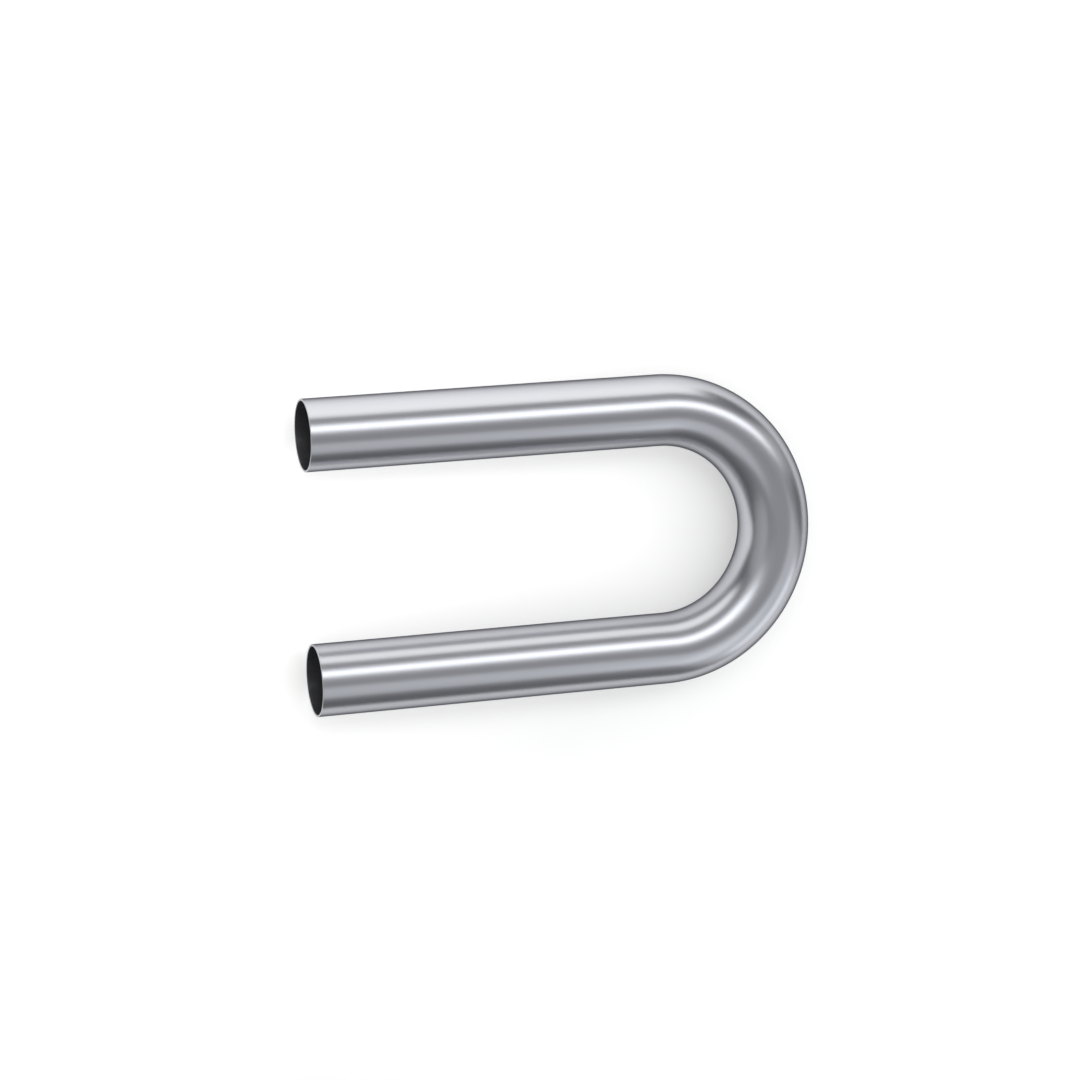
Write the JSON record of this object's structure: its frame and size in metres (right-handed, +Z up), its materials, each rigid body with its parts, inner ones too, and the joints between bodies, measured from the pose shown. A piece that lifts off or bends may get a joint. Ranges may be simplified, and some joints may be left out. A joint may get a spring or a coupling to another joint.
{
  "type": "return bend",
  "caption": "Thin-walled steel tube bent through half a turn into a U with long straight parallel legs, to turn a pipe run back on itself.",
  "frame": {"origin": "under the middle of the part, on the surface that it lies flat on", "axes": "+X along the legs from the mouths towards the bend, +Y across from leg to leg, +Z up, square to the plane of the U"},
  "size_m": [0.4365, 0.2636, 0.0603],
  "materials": {
    "steel": "satin bare steel, drawn and lightly polished"
  },
  "bodies": {
    "root": {"return_bend": "steel"}
  },
  "joints": []
}
